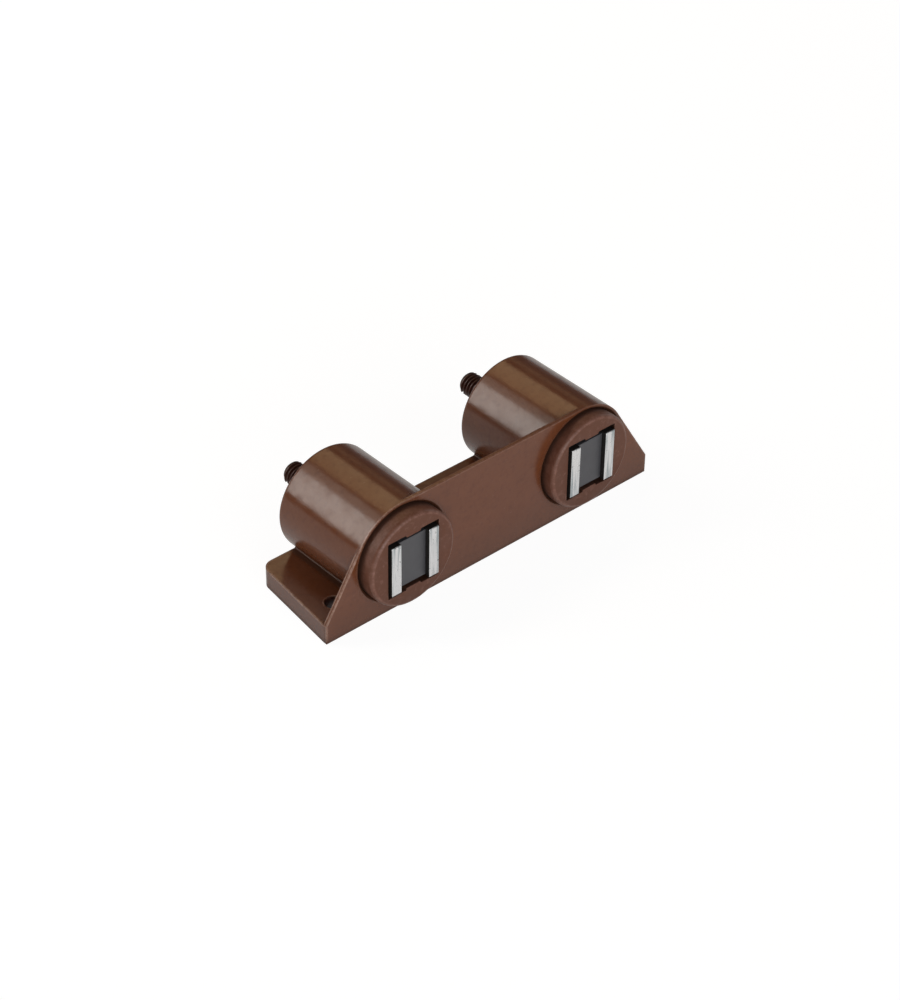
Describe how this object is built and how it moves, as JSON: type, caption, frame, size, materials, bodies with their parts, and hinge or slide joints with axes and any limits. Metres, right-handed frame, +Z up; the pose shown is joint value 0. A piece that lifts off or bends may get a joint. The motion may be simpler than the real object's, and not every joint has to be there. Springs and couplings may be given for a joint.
{
  "type": "magnetic catch",
  "caption": "Brown plastic magnetic catch for a pair of cabinet doors: a screw-down bracket with barrels that hold adjustable magnet heads on threaded spindles.",
  "frame": {"origin": "on the mounting face, midway between the two screw holes", "axes": "+X along the length, +Y from the doors into the cabinet, +Z up from the mounting face"},
  "size_m": [0.081, 0.0366, 0.0234],
  "materials": {
    "brown_moulding": "glossy brown moulded ABS",
    "brown_head": "the same brown ABS, rubbed matt and lightly scuffed",
    "brown_spindle": "dark red-brown moulded nylon",
    "ferrite": "matt dark grey ground ferrite",
    "ground_steel": "steel, ground bright on its front edge, dull and dark on its flanks"
  },
  "bodies": {
    "bracket": {"bracket": "brown_moulding"},
    "left_head": {"holder_left": "brown_head", "magnet_left": "ferrite", "pole_outer_left": "ground_steel", "pole_inner_left": "ground_steel"},
    "right_head": {"holder_right": "brown_head", "magnet_right": "ferrite", "pole_inner_right": "ground_steel", "pole_outer_right": "ground_steel"},
    "left_spindle": {"spindle_left": "brown_spindle"},
    "right_spindle": {"spindle_right": "brown_spindle"}
  },
  "joints": [
    {"name": "left_head_travel", "type": "slide", "parent": "bracket", "child": "left_head", "axis": [0, -1, 0], "range_m": [-0.0032, 0.004]},
    {"name": "right_head_travel", "type": "slide", "parent": "bracket", "child": "right_head", "axis": [0, -1, 0], "range_m": [-0.0026, 0.0046]},
    {"name": "left_spindle_turn", "type": "hinge", "parent": "left_head", "child": "left_spindle", "pos_m": [-0.0225, 0.01, 0.01235], "axis": [0, -1, 0], "range_deg": [-1440, 1800]},
    {"name": "right_spindle_turn", "type": "hinge", "parent": "right_head", "child": "right_spindle", "pos_m": [0.0225, 0.01, 0.01235], "axis": [0, -1, 0], "range_deg": [-1170, 2070]}
  ],
  "couplings": [
    {"joint": "left_spindle_turn", "follows": "left_head_travel", "rad_per_m": 7854},
    {"joint": "right_spindle_turn", "follows": "right_head_travel", "rad_per_m": 7854}
  ]
}
